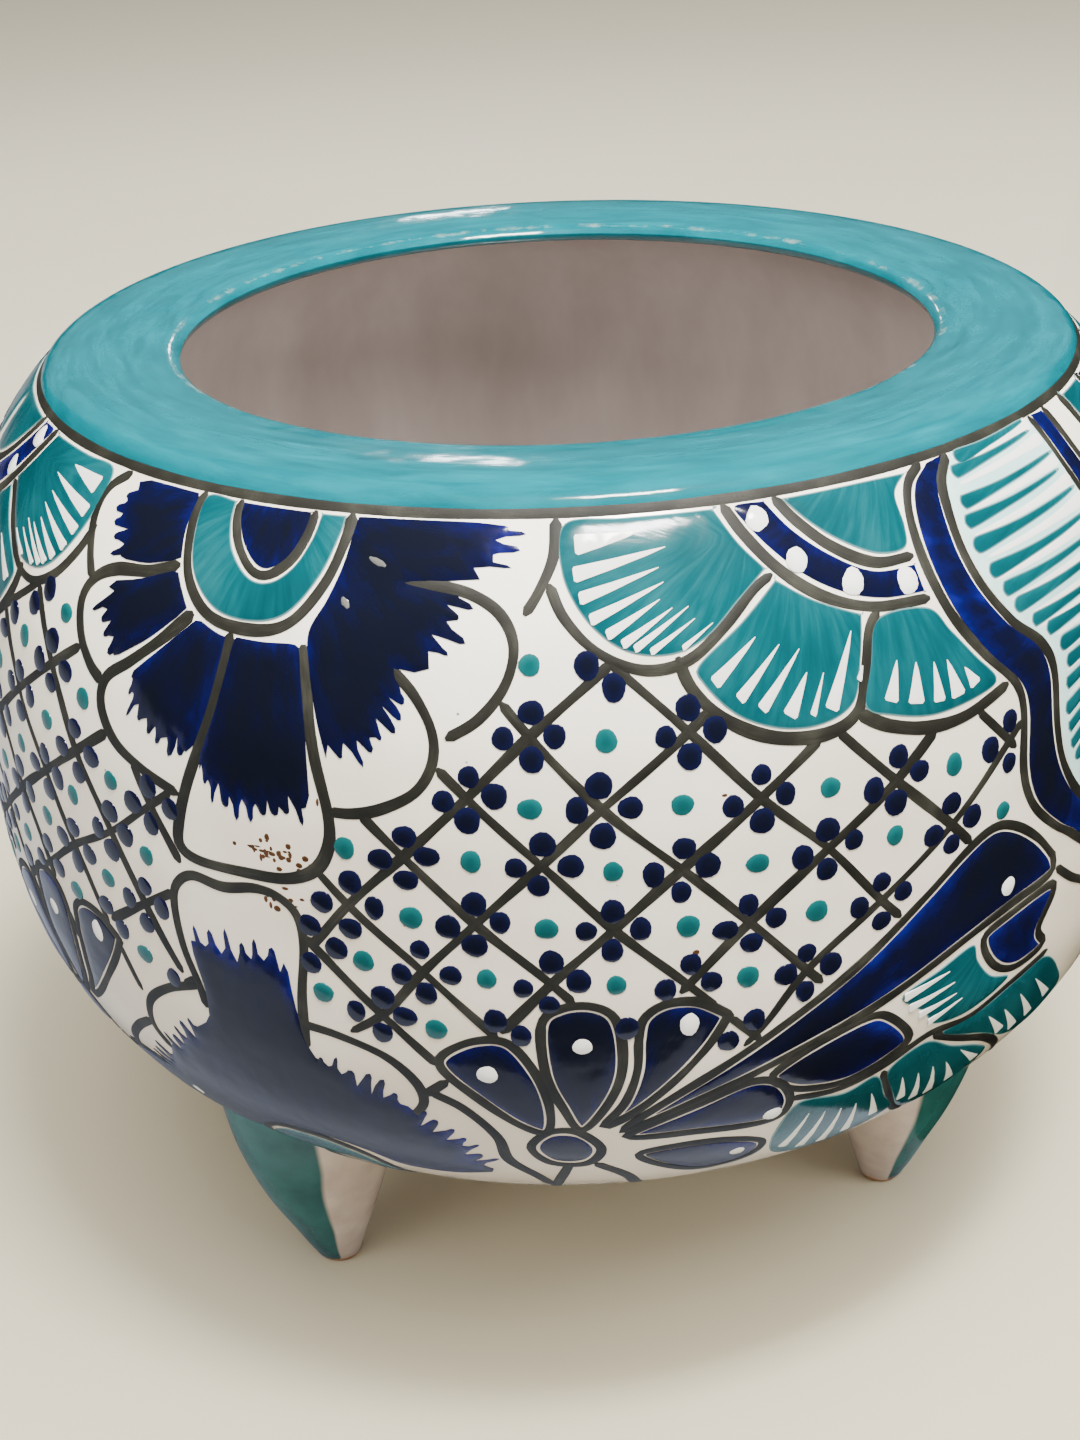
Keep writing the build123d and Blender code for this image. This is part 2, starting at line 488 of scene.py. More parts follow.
def inward(loop, ahead):
    """Unit steps from the points of a loop towards its inside."""
    aside = np.column_stack([-ahead[:, 1], ahead[:, 0]])
    aside /= np.maximum(np.linalg.norm(aside, axis=1), 1e-6)[:, None]
    area = (loop[:, 0] * np.roll(loop[:, 1], -1) - np.roll(loop[:, 0], -1) * loop[:, 1]).sum()
    return aside * (1 if area > 0 else -1)


def heading(start, end):
    """Unit steps along and across the way from the start to the end."""
    ahead = (end - start) / np.linalg.norm(end - start)
    return ahead, np.array([-ahead[1], ahead[0]])


SUNK = 0.3


def pool(coat, loop, centre=None, grid=2.3, lip=0.45):
    """Enamel poured inside a loop: a closed cake with a low edge and a swollen top."""
    loop = np.asarray(loop, float)
    low, high = loop.min(axis=0), loop.max(axis=0)
    rows = np.arange(low[1], high[1], grid * 0.87)
    grid_spots = [(x + (index % 2) * grid / 2, y) for index, y in enumerate(rows)
                  for x in np.arange(low[0], high[0], grid)]
    ahead = np.roll(loop, -1, axis=0) - loop
    ring = loop + ahead / 2 + inward(loop, ahead) * lip
    spots = np.vstack([np.array(grid_spots).reshape(-1, 2), ring])
    far = edge_distance(spots, loop)
    keep = inside(spots, loop) & (far > np.append(np.full(len(grid_spots), 1.1),
                                                  np.full(len(ring), lip * 0.85)))
    spots = spots[keep]
    flat = [Vector(spot) for spot in np.vstack([loop, spots])]
    sides = [(index, (index + 1) % len(loop)) for index in range(len(loop))]
    filled = delaunay_2d_cdt(flat, sides, [list(range(len(loop)))], 1, 1e-5, False)
    chart = np.array([(vertex[0], vertex[1]) for vertex in filled[0]])
    middles = np.array([chart[list(face)].mean(axis=0) for face in filled[2]])
    faces = [tuple(face) for face, held in zip(filled[2], inside(middles, loop)) if held]
    used = dict.fromkeys(pair for face in faces for pair in zip(face, face[1:] + face[:1]))
    rim = [pair for pair in used if (pair[1], pair[0]) not in used]
    edge = edge_distance(chart, loop)
    lift = coat.edge_lift + (coat.full_lift - coat.edge_lift) * (1 - np.exp(-edge / 0.9))
    top = on_pot(chart, lift)
    base = on_pot(chart, np.full(len(chart), -SUNK))
    count = len(chart)
    # The chart's s runs downwards, so a loop that is counter-clockwise on it faces inwards.
    outward = [face[::-1] for face in faces]
    under = [tuple(corner + count for corner in face) for face in faces]
    walls = [(first, second, second + count, first + count) for first, second in rim]
    middle = np.array(centre if centre is not None else loop.mean(axis=0), float)
    spoke = chart - middle
    turn = np.arctan2(spoke[:, 0], np.abs(spoke[:, 1]) + 6.0) * 30.0
    brush = np.column_stack([turn, np.linalg.norm(spoke, axis=1)])
    coat.add(np.vstack([top, base]), outward + under + walls, np.concatenate([edge, edge * 0]),
             np.vstack([brush, brush]))


def shrink(points, gap):
    """The loop through the points, moved inwards by the gap so that the ground shows beside the line."""
    loop = smooth(points, 1.0, closed=True)
    ahead = np.roll(loop, -1, axis=0) - np.roll(loop, 1, axis=0)
    moved = loop + inward(loop, ahead) * gap
    far = edge_distance(moved, loop)
    return moved[(far > gap * 0.92) & inside(moved, loop)]


def torn(points, centre, reach, pitch, luck):
    """A torn brush edge along the points: narrow blunt teeth that point away from the centre."""
    path = smooth(points, 0.25)
    edge = [path[0]]
    spot = pitch * luck.uniform(0.35, 0.6)
    while spot < (len(path) - 4) * 0.25 - 0.3 * pitch:
        index = max(3, int(spot * 4))
        here = path[index]
        away = here - np.array(centre, float)
        away /= np.linalg.norm(away)
        ahead = path[index + 3] - path[index - 3]
        ahead /= np.linalg.norm(ahead)
        long, wide = reach * luck.uniform(0.15, 1.0), luck.uniform(0.4, 0.8)
        edge += [here - ahead * wide * 1.4, here - ahead * wide + away * long * 0.75, here + away * long,
                 here + ahead * wide * 0.8 + away * long * 0.7, here + ahead * wide * 1.3]
        notch = path[min(int((spot + pitch * luck.uniform(0.42, 0.55)) * 4), len(path) - 1)]
        edge.append(notch - away * reach * luck.uniform(0.1, 0.75))
        spot += pitch * luck.uniform(0.8, 1.2)
    edge.append(path[-1])
    return np.array(edge)


def wedge(coat, butt, tip, width):
    """A white reserve in a fan: a wedge, blunt where it starts and running out to a hair."""
    butt, tip = np.array(butt, float), np.array(tip, float)
    ahead, aside = heading(butt, tip)
    half = width / 2
    early, late = butt * 0.6 + tip * 0.4, butt * 0.2 + tip * 0.8
    loop = [butt - aside * half + ahead * 0.4, butt - aside * half * 0.75,
            butt + aside * half * 0.75 - ahead * 0.25, butt + aside * half + ahead * 0.3,
            early + aside * half * 0.66, late + aside * half * 0.3, tip + aside * 0.08,
            tip - aside * 0.08, late - aside * half * 0.3, early - aside * half * 0.66]
    pool(coat, loop, grid=3.0, lip=0.3)


LENS_RINGS = ((1.0, -0.35), (0.97, 0.35), (0.72, 0.85), (0.0, 1.0))
LENS_SIDES = 14


def touch(coat, spot, across, down=None, turn=0.0):
    """One touch of a loaded brush: a round swollen drop of enamel, or an oval one."""
    down = down or across
    middle = on_pot([spot], 0.0)[0]
    up = on_pot([spot], 1.0)[0] - middle
    side = on_pot([(spot[0] + 0.5, spot[1])], 0.0)[0] - middle
    side /= np.linalg.norm(side)
    fall = np.cross(side, up)
    places, edges = [], []
    for size, rise in LENS_RINGS[:-1]:
        for corner in range(LENS_SIDES):
            angle = 2 * math.pi * corner / LENS_SIDES + turn
            waver = 1 + 0.03 * math.sin(3 * angle + spot[0]) + 0.02 * math.sin(5 * angle + spot[1])
            places.append(middle + side * across * size * waver * math.cos(angle)
                          + fall * down * size * waver * math.sin(angle) + up * coat.full_lift * rise)
            edges.append((1 - size) * across)
    places += [middle + up * coat.full_lift, middle - up * SUNK]
    edges += [across, 0.0]
    top, foot = len(places) - 2, len(places) - 1
    faces = []
    for corner in range(LENS_SIDES):
        other = (corner + 1) % LENS_SIDES
        for ring in range(2):
            low, high = ring * LENS_SIDES, (ring + 1) * LENS_SIDES
            faces.append((low + other, low + corner, high + corner, high + other))
        faces.append((2 * LENS_SIDES + other, 2 * LENS_SIDES + corner, top))
        faces.append((corner, other, foot))
    coat.add(np.array(places), faces, np.array(edges), np.tile(np.array(spot, float), (len(places), 1)))


# ---------------------------------------------------------------- the painting

LINE = Coat("outlines", "outline_oxide", outline_oxide(), 0.1, 0.2)
THIN = Coat("lattice_lines", "outline_oxide", LINE.material, 0.1, 0.16)
DABS = Coat("dabs_on_cobalt", "outline_oxide",
            plain_enamel("thin grey dabs", (0.07, 0.07, 0.065), (0.13, 0.13, 0.12), 0.3), 0.44, 0.52)
COBALT = Coat("cobalt_fields", "cobalt_glaze", cobalt_enamel(), 0.14, 0.42)
TURQUOISE = Coat("turquoise_fields", "turquoise_glaze", turquoise_enamel(), 0.12, 0.36)
WASH = Coat("pale_wash", "turquoise_glaze",
            plain_enamel("pale turquoise wash", (0.50, 0.72, 0.69), (0.36, 0.62, 0.61), 0.05), 0.05, 0.1)
WHITE = Coat("white_touches", "white_glaze",
             plain_enamel("white enamel", (0.74, 0.74, 0.70), (0.84, 0.84, 0.81), 0.2), 0.3, 0.52)
WEDGES = Coat("white_wedges", "white_glaze", WHITE.material, 0.42, 0.52)
WHITE_LIGHTS = Coat("white_lights", "white_glaze", WHITE.material, 0.11, 0.2)
NAVY_DOTS = Coat("navy_dots", "cobalt_glaze",
                 plain_enamel("navy enamel", (0.005, 0.006, 0.032), (0.004, 0.005, 0.013), 0.3), 0.1, 0.36)
TEAL_DOTS = Coat("teal_dots", "teal_glaze",
                 plain_enamel("teal enamel", (0.008, 0.10, 0.105), (0.003, 0.065, 0.07), 0.3), 0.1, 0.34)
RUST = Coat("iron_freckles", "outline_oxide",
            plain_enamel("iron freckle", (0.085, 0.036, 0.015), (0.022, 0.011, 0.006), 0.3), 0.02, 0.05)
COATS = (LINE, THIN, DABS, COBALT, TURQUOISE, WASH, WHITE, WEDGES, WHITE_LIGHTS, NAVY_DOTS, TEAL_DOTS, RUST)

OUTLINE_W = 2.7
LATTICE_W = 2.1
TAKEN = []
TAKEN_BOXES = []


# A run of points on a field's edge is torn by the brush or plain.
TORN, PLAIN = True, False


class Place:
    """Where a motif stands on the chart: points drawn about its middle are moved there, or mirrored."""

    def __init__(self, u, mirrored=False, seed=1):
        self.u, self.turn = u, -1 if mirrored else 1
        self.luck = random.Random(seed)

    def __call__(self, points):
        spots = np.array(points, float).reshape(-1, 2)
        return np.column_stack([self.u + self.turn * spots[:, 0], spots[:, 1]])

    def spot(self, u, s):
        return (self.u + self.turn * u, s)

    def line(self, points, width=OUTLINE_W, coat=LINE):
        stroke(coat, self(points), width * self.luck.uniform(0.92, 1.1), self.luck)

    def take(self, points, heart=None):
        """Keeps the lattice out of what the points go round, closed over the heart."""
        loop = smooth(self(points), 2.0)
        TAKEN.append(np.vstack([loop, [self.spot(*heart)]]) if heart else loop)

    def sleeve(self, points, width, heart):
        """The outline of one petal, which also keeps the lattice out of it."""
        self.line(points, width)
        self.take(points, heart)

    def fill(self, coat, points, centre=(0.0, 0.0), gap=0.0):
        loop = shrink(self(points), gap) if gap else smooth(self(points), 1.0, closed=True)
        pool(coat, loop, self.spot(*centre))

    def torn_field(self, runs, centre, reach=4.4, pitch=3.2):
        """A cobalt field with a plain back and torn tips: runs of points, each plain or torn."""
        loop = []
        for is_torn, points in runs:
            spots = self(points)
            if is_torn:
                loop.append(torn(spots, self.spot(*centre), reach, pitch, self.luck))
            else:
                loop.append(smooth(spots, 1.0))
        loop = np.vstack(loop)
        gaps = np.linalg.norm(loop - np.roll(loop, 1, axis=0), axis=1)
        pool(COBALT, loop[gaps > 0.12], self.spot(*centre))

    def between(self, coat, first, second, step, centre, grid=2.3):
        """Enamel laid between two lines."""
        there, back = smooth(self(first), step), smooth(self(second), step)[::-1]
        pool(coat, np.vstack([there, back]), self.spot(*centre), grid)

    def wedges(self, pairs):
        for butt, tip, width in pairs:
            wedge(WEDGES, self.spot(*butt), self.spot(*tip), width)

    def white(self, u, s, across, down=None):
        touch(WHITE, self.spot(u, s), across, down)


def hanging_flower(u, mirrored=False, seed=1):
    """The cobalt flower under the rim: dark half core, turquoise ring, seven torn petals in white sleeves."""
    at = Place(u, mirrored, seed)
    heart = (0.0, 2.0)
    at.fill(COBALT, [(-10.5, 1.9), (-10.0, 5), (-7, 10), (-2, 14), (2, 14), (6, 10.5), (8, 5), (8, 1.9),
                     (8, 1.9), (-10.5, 1.9)], (0, -20))
    at.line([(-11.6, 1.4), (-10.8, 6), (-8, 11), (-3, 15.3), (1.5, 15.6), (6, 12.2), (8.6, 7), (9.3, 1.4)],
            2.3)
    at.fill(TURQUOISE, [(-21.8, 1.9), (-21.4, 10), (-18, 18), (-10, 24), (0, 25), (8, 22.3), (14, 14.5),
                        (16.8, 6), (17.2, 1.9), (17.2, 1.9), (11, 1.9), (11, 1.9), (10.2, 7.4), (7.2, 13.4),
                        (2.2, 17), (-3.5, 16.7), (-9.4, 12), (-12.2, 6.5), (-13, 1.9), (-13, 1.9)], heart)
    at.line([(-23, 1.2), (-22.7, 10), (-19, 19.2), (-11, 25.6), (1, 26.6), (9.3, 23.7), (15.6, 15.5),
             (18.4, 6.5), (18.7, 1.2)], 2.6)
    at.torn_field([
        (TORN, [(56, 3), (54, 8), (50, 13.4)]), (PLAIN, [(46, 13.6), (38, 14.2), (34, 14.6), (38, 15.4)]),
        (TORN, [(45.6, 16.6), (44.4, 23), (40, 30.6)]), (PLAIN, [(37, 31.4), (33, 31), (33.4, 33)]),
        (TORN, [(34.4, 35.6), (31.4, 42), (26, 46.8), (18.6, 49.6)]),
        (PLAIN, [(18.6, 49.6), (16.4, 42), (14.4, 33), (13.4, 25.6), (16.6, 19), (19, 12), (20, 5),
                 (20.4, 1.9)]),
        (PLAIN, [(21.4, 1.8), (36, 1.7), (48, 1.9), (55, 2.6)])], heart)
    at.torn_field([
        (TORN, [(13.8, 60.6), (9, 62), (2, 62.6), (-6, 62.4), (-11.4, 57)]),
        (PLAIN, [(-11.2, 54), (-7, 43), (-4, 29.2)]),
        (PLAIN, [(-3.4, 28.6), (3, 28.6), (10.4, 28.2), (12, 29.6)]),
        (PLAIN, [(12.4, 32), (13.8, 43), (14.6, 58)])], heart)
    at.torn_field([
        (TORN, [(-14.8, 54), (-22, 52.4), (-28.6, 48.6), (-30.6, 41.6)]),
        (PLAIN, [(-30, 40.2), (-22, 33.4), (-14.6, 27)]),
        (PLAIN, [(-13, 26.9), (-9, 28.4), (-6, 29)]), (PLAIN, [(-6.6, 33), (-9, 43), (-12.6, 52)])], heart)
    at.torn_field([(TORN, [(-36.6, 38.6), (-40, 34), (-42.4, 30), (-42, 25.4)]),
                   (PLAIN, [(-40, 23.6), (-33, 21.8), (-24, 18.6)]),
                   (PLAIN, [(-22.4, 18.6), (-19.6, 22.4), (-17.6, 25)]),
                   (PLAIN, [(-20, 27.4), (-27, 33), (-35, 38)])], heart)
    at.torn_field([(TORN, [(-41, 18.8), (-45, 14), (-47, 8), (-45.6, 3)]),
                   (PLAIN, [(-42, 1.9), (-34, 1.8), (-25, 1.9)]),
                   (PLAIN, [(-24.4, 3), (-24.3, 10), (-22.8, 15.6)]),
                   (PLAIN, [(-25, 16.6), (-32, 18.4), (-39, 19)])], heart)
    at.sleeve([(66.6, 1.2), (65.8, 9), (62.4, 16), (59.4, 20.3)], 2.6, heart)
    at.sleeve([(32.5, 13.6), (40, 14.6), (48, 16.2), (54.4, 20), (57.2, 26), (55.4, 33.4), (50, 40),
               (43.4, 44)], 2.5, heart)
    at.sleeve([(31.4, 30.5), (36.8, 35.6), (40.6, 42.5), (40.6, 49), (37, 55), (30, 59), (24, 60.6),
               (18.6, 60.8)], 2.5, heart)
    at.sleeve([(12.5, 28), (13.8, 37), (16, 50), (18.6, 62), (18, 69), (14.6, 74.4), (8, 77.4), (-2, 78),
               (-14, 78), (-18.4, 75.6), (-18, 70.4), (-14.9, 61), (-10.6, 50), (-7.4, 40), (-5, 28)], 2.6,
              heart)
    at.sleeve([(-15.6, 25.6), (-23, 32.2), (-31.4, 38.6), (-38.4, 43.6), (-40, 50), (-36, 56.6), (-28, 60.6),
               (-17.4, 63.8)], 2.7, heart)
    at.sleeve([(-22.4, 17), (-31, 19.8), (-41, 21.4), (-47.4, 24.6), (-50.4, 30), (-48.6, 37), (-44, 42.4),
               (-39.6, 45)], 2.6, heart)
    at.sleeve([(-50, 1.6), (-55.4, 6.4), (-55.6, 13), (-52, 20), (-48.6, 25)], 2.5, heart)
    for start, end in (((25.0, 10.0), (29.0, 11.6)), ((20.2, 18.2), (21.8, 20.2))):
        at.line([start, end], 1.9, DABS)


def fan_flower(u, mirrored=False, seed=1):
    """Half of the turquoise fan under the rim: a sun, a cobalt band with white drops and three fan petals."""
    at = Place(u, mirrored, seed)
    heart = (0.0, -4.0)
    at.fill(TURQUOISE, [(-30.5, 1.9), (-26, 7.4), (-20, 12.4), (-12, 16.6), (-4.6, 17), (-2.6, 13), (-1.6, 6),
                        (4, 2.4), (4, 2.4), (-10, 1.9), (-30.5, 1.9)], heart)
    at.line([(-32.4, 1.2), (-28.6, 7), (-22, 13.4), (-13, 18.2), (-3, 18.8)], 2.4)
    at.fill(COBALT, [(-42, 1.9), (-35, 1.9), (-35, 1.9), (-30.4, 8.6), (-23, 15), (-14, 19.8), (-3.6, 20.6),
                     (-3.6, 20.6), (-3, 26), (-3, 26), (-13, 25.2), (-21.6, 22.6), (-29.6, 18),
                     (-36.4, 11.4), (-41, 5)], heart)
    for spot in ((-37.6, 5.2), (-31, 14.4), (-19.6, 20.8), (-6.6, 23.2)):
        at.white(*spot, 2.7 * at.luck.uniform(0.9, 1.08), 2.9)
    at.line([(-45, 1.2), (-41.6, 8), (-35.4, 16), (-27, 22.4), (-16, 26.4), (-2, 27.6)], 2.6)
    at.fill(TURQUOISE, [(-81.4, 2.4), (-68, 1.9), (-47.4, 1.9), (-47.4, 1.9), (-43.4, 9.4), (-38.6, 15.2),
                        (-38.6, 15.2), (-46, 20.6), (-54, 26.8), (-62, 29.2), (-71, 27.4), (-78.4, 21),
                        (-82.6, 12)], (-38, 8))
    at.fill(TURQUOISE, [(-37, 17.6), (-37, 17.6), (-29.6, 22.6), (-19.4, 27.2), (-19.4, 27.2), (-21.4, 36),
                        (-24, 43.6), (-31, 46.6), (-40, 46), (-49, 42), (-55.4, 35), (-55.6, 31.4),
                        (-46, 24.6)], (-30, 10))
    at.fill(TURQUOISE, [(-16, 28.8), (-3.4, 29.2), (1.6, 35), (7, 41.6), (12, 47.4), (8.6, 49.6),
                        (-5, 50.6), (-16, 48), (-21.6, 45), (-19.4, 37)], (-14, 12))
    at.sleeve([(-85.4, 14.4), (-82.4, 21), (-76, 27.6), (-67, 31.6), (-58, 30.6), (-49.6, 25), (-42.4, 19),
               (-37.4, 16.4)], 2.4, heart)
    at.sleeve([(-60, 29.6), (-57.6, 36), (-51.4, 42.6), (-42, 47.4), (-31, 48.8), (-23.6, 46), (-20.6, 39),
               (-18.4, 31), (-15.4, 27.4)], 2.5, heart)
    at.sleeve([(-23.4, 46), (-16.6, 50), (-7, 52.8), (3, 53), (15.4, 49.8)], 2.5, heart)
    at.take([(-84, -3), (-85.4, 14.4)], heart)
    at.wedges([((-79.4, 7), (-65.5, 5.2), 4.2), ((-80, 12.9), (-59.8, 8.6), 3.1),
               ((-79, 17.5), (-61.8, 12.5), 2.5), ((-77, 21.6), (-61.2, 15.4), 2.3),
               ((-73.8, 24.6), (-62.4, 18.6), 2.1), ((-70.8, 26.5), (-60, 20.4), 1.9),
               ((-68.4, 27.5), (-56.6, 20.4), 1.6), ((-65.2, 28.3), (-55.6, 22.8), 1.4),
               ((-58.7, 28.1), (-52, 24), 1.1)])
    at.wedges([((-53, 35.4), (-43.6, 27.7), 2.7), ((-48.2, 39.1), (-38.8, 29.8), 2.4),
               ((-43.8, 41.6), (-34.7, 31.3), 2.5), ((-38.2, 43.7), (-33.7, 36), 3.2),
               ((-33.3, 44.4), (-30.1, 36.7), 1.4), ((-29.2, 44), (-22.7, 29.9), 3.1),
               ((-22.4, 39.6), (-21.2, 37), 1.2)])
    at.wedges([((-15.7, 45.2), (-13.2, 37.6), 3.3), ((-9.8, 47), (-8.7, 39), 3.9),
               ((-4, 48), (-4.3, 40), 2.9), ((1, 48.2), (-0.9, 40.4), 3.6), ((5.8, 47.1), (3.4, 43), 3.0)])


def finger(at, coat, start, end, width):
    """A brush finger: a loaded round start that runs out thin."""
    start, end = np.array(start, float), np.array(end, float)
    ahead, aside = heading(start, end)
    half = width / 2
    broad, waist = start + ahead * half * 1.6, start * 0.6 + end * 0.4
    shape = [start, start + ahead * half * 0.5 + aside * half * 0.85, broad + aside * half,
             waist + aside * half * 0.62, end + aside * half * 0.3, end - aside * half * 0.3,
             waist - aside * half * 0.62, broad - aside * half,
             start + ahead * half * 0.5 - aside * half * 0.85]
    pool(coat, smooth(at(shape), 1.0, closed=True), at.spot(*end))


BAND_LEFT = ((9.5, 1.2), (3, 5), (-0.4, 12), (-0.6, 22), (2.6, 32), (9.6, 42), (17.4, 50), (19.8, 57),
             (19.6, 70), (23.6, 80), (31.6, 88), (40, 94), (50, 102), (58, 112), (66, 119), (78, 121),
             (90, 124), (102, 129), (115, 131))
BAND_RIGHT = ((18.6, 1.2), (12.4, 7), (10.2, 18), (12.4, 28), (19.4, 38), (27.4, 45), (30.6, 52),
              (31.2, 65), (34, 74), (41, 84), (49, 90), (58, 98), (65, 107), (73, 112.4), (84, 113),
              (96, 118), (106, 121), (115, 122))


def fingers(at, half, ring):
    """Turquoise fingers brushed in from the band, and white lights brushed out from the inner ring."""
    border = smooth(BAND_RIGHT, 1.0)
    spots = [float(place) for place in np.arange(3.0, len(border) - 2, 5.3)]
    for index, place in enumerate(spots + [place + 2.6 for place in spots]):
        spot = border[min(int(place + at.luck.uniform(-0.5, 0.5)), len(border) - 1)]
        toward = np.array([half, 1.2]) - spot
        lean = np.clip((place - 55) / 40, 0, 1)
        ahead = np.array([1.0, -0.05]) * (1 - lean) + toward / np.linalg.norm(toward) * lean
        ahead /= np.linalg.norm(ahead)
        reach = np.linalg.norm(toward) - ring
        if lean < 1:
            level_reach = half - math.sqrt(max(ring ** 2 - (spot[1] - 1.2) ** 2, 0)) - spot[0]
            reach = reach * lean + level_reach * (1 - lean)
        if index < len(spots):
            coat, thin, thick = TURQUOISE, 3.0, 3.7
            first = spot + ahead * at.luck.uniform(3.0, 4.4)
            last = spot + ahead * (reach - at.luck.uniform(2.5, 6.0))
        else:
            coat, thin, thick = WHITE_LIGHTS, 2.4, 3.0
            first = spot + ahead * (reach - 1.6)
            last = spot + ahead * at.luck.uniform(6.5, 9.0)
        if np.linalg.norm(last - first) > 4:
            finger(at, coat, first, last, at.luck.uniform(thin, thick))


def shell_flower(u, seed=1):
    """The great flower at the side: wavy cobalt border, pale wash with turquoise fingers, inner ring."""
    half = 115.0
    ring = 60.0
    for mirrored in (False, True):
        at = Place(u + half if mirrored else u - half, mirrored, seed + mirrored)
        at.between(COBALT, [(a + 1.9, b + (0.6 if b < 60 else 0)) for a, b in BAND_LEFT],
                   [(a - 1.7, b) for a, b in BAND_RIGHT], 1.2, (60, 40))
        at.line(BAND_LEFT, 2.4)
        at.line(BAND_RIGHT, 2.4)
        arc, inner = ([(half - size * math.cos(turn), 1.2 + size * math.sin(turn))
                       for turn in np.linspace(0, math.pi / 2, 9)] for size in (ring, ring - 8.6))
        at.between(WASH, [(a + 1.5, b) for a, b in BAND_RIGHT], [(a - 0.6, b + 0.6) for a, b in arc], 1.4,
                   (half, 0), grid=4.0)
        at.between(COBALT, [(a + 1.5, b + 0.2) for a, b in arc], [(a - 1.6, b + 0.6) for a, b in inner], 1.2,
                   (half, 0))
        at.line(arc, 2.3)
        at.line(inner, 2.3)
        fingers(at, half, ring)
        at.fill(COBALT, [(half, 22), (half, 1.9), (half, 1.9), (half - 19, 1.9), (half - 19, 1.9),
                         (half - 17, 11), (half - 9, 19.4)], (half, 1.2))
        at.line([(half - 21, 1.2), (half - 18.6, 12), (half - 10, 21.4), (half, 24.4)], 2.4)
        at.fill(TURQUOISE, [(half, 40), (half, 26.6), (half, 26.6), (half - 11, 23.6), (half - 20.6, 13),
                            (half - 23, 1.9), (half - 23, 1.9), (half - 38, 1.9), (half - 38, 1.9),
                            (half - 34, 19), (half - 20, 33.6)], (half, 1.2))
        at.line([(half - 40, 1.2), (half - 36, 20), (half - 21, 35.4), (half, 42)], 2.4)
        for spoke in range(4):
            turn = math.radians(14 + spoke * 22)
            at.white(half - 30.5 * math.cos(turn), 1.2 + 30.5 * math.sin(turn), 2.4)
    Place(u).take([(-half - 2, -4), (-half, 34), (-96, 52), (-94, 76), (-62, 104), (-48, 121), (0, 134),
                   (48, 121), (62, 104), (94, 76), (96, 52), (half, 34), (half + 2, -4)])


def drop_petal(at, outline, white=None, across=0.0, down=None):
    """A navy drop petal with its outline and, most times, one white touch."""
    at.fill(COBALT, outline, (0, 145), gap=1.5)
    stroke(LINE, at(outline), 2.2, at.luck, closed=True)
    TAKEN.append(smooth(at(outline), 2.0, closed=True))
    if white:
        at.white(*white, across, down)


def long_petals(at):
    """The long side of a spray: a petal that sweeps up, two under it, and fans of turquoise below."""
    drop_petal(at, [(8, 138.4), (20, 128), (40, 115), (60, 102), (75, 91), (85, 84), (93, 81), (100, 83),
                    (108, 89), (114.4, 96), (114.4, 96), (114, 100.4), (100, 102.4), (85, 106.4),
                    (65, 114.4), (45, 121.6), (25, 130.4)], (98.6, 97), 2.7, 3.0)
    drop_petal(at, [(41, 126.6), (50, 121), (62, 117.4), (68, 119), (74.4, 127), (70, 131.4), (60, 135),
                    (50, 134), (43.6, 131)])
    drop_petal(at, [(9, 140.4), (25, 132), (36, 127.6), (43, 130), (46, 137), (42, 142.4), (25, 141.6)],
               (42, 139.6), 2.4, 2.2)
    at.fill(TURQUOISE, [(70, 114.6), (80, 110.6), (89.4, 107.6), (92, 113), (97, 119), (104, 123),
                        (92, 127.6), (81, 126.6), (77, 121.6)], (100, 110), gap=0.5)
    at.wedges([((71.4, 115), (83, 112.4), 2.2), ((73, 118.4), (85, 116), 2.0),
               ((76, 121.4), (86, 119.4), 1.8), ((79, 124.6), (88, 121.6), 1.8)])
    drop_petal(at, [(92.6, 108), (100, 105), (113.6, 103.4), (116, 106), (112, 114), (115, 119.4), (105, 121),
                    (97, 116.6)])
    at.fill(TURQUOISE, [(48, 138), (60, 139), (68, 136.6), (73, 146), (79, 156), (70, 165), (58, 168),
                        (47, 162), (44, 150)], (60, 128), gap=0.3)
    at.fill(TURQUOISE, [(70.6, 136.4), (80, 131), (90, 137), (101, 143), (108, 150), (104, 160), (92, 164),
                        (82, 158), (75, 147)], (70, 126), gap=0.3)
    at.fill(TURQUOISE, [(84, 130.6), (96, 128.6), (108, 125), (118, 124), (128, 133), (136, 144), (128, 152),
                        (114, 148), (100, 139)], (92, 118), gap=0.3)
    at.line([(46, 136), (58, 137.2), (68, 134.6), (80, 129), (92, 129.4), (104, 125.6), (118, 122.6)], 2.2)
    at.line([(69.4, 136), (74, 146), (80.6, 157.4), (86, 163)], 2.2)
    at.line([(82, 130), (92, 136), (103, 142), (112, 150), (118, 158)], 2.2)
    at.line([(116.4, 100), (124, 106), (134, 112), (140, 118)], 2.4)
    at.wedges([((48.6, 158), (51.6, 143), 2.6), ((54.6, 162), (56, 144), 2.8), ((61, 163), (60.4, 145), 2.8),
               ((67, 160.6), (64.4, 145), 2.6), ((73, 155), (68, 143), 2.4), ((80, 152), (76, 141), 2.4),
               ((86, 156), (81, 142), 2.6), ((92, 157.6), (85.4, 142), 2.8), ((98, 155.4), (90, 143), 2.6),
               ((103.6, 150), (94, 141), 2.4), ((108, 142), (100, 133), 2.6), ((115, 145), (106, 134), 2.8),
               ((121, 144), (111, 132), 2.6), ((127, 141), (116, 130), 2.4)])


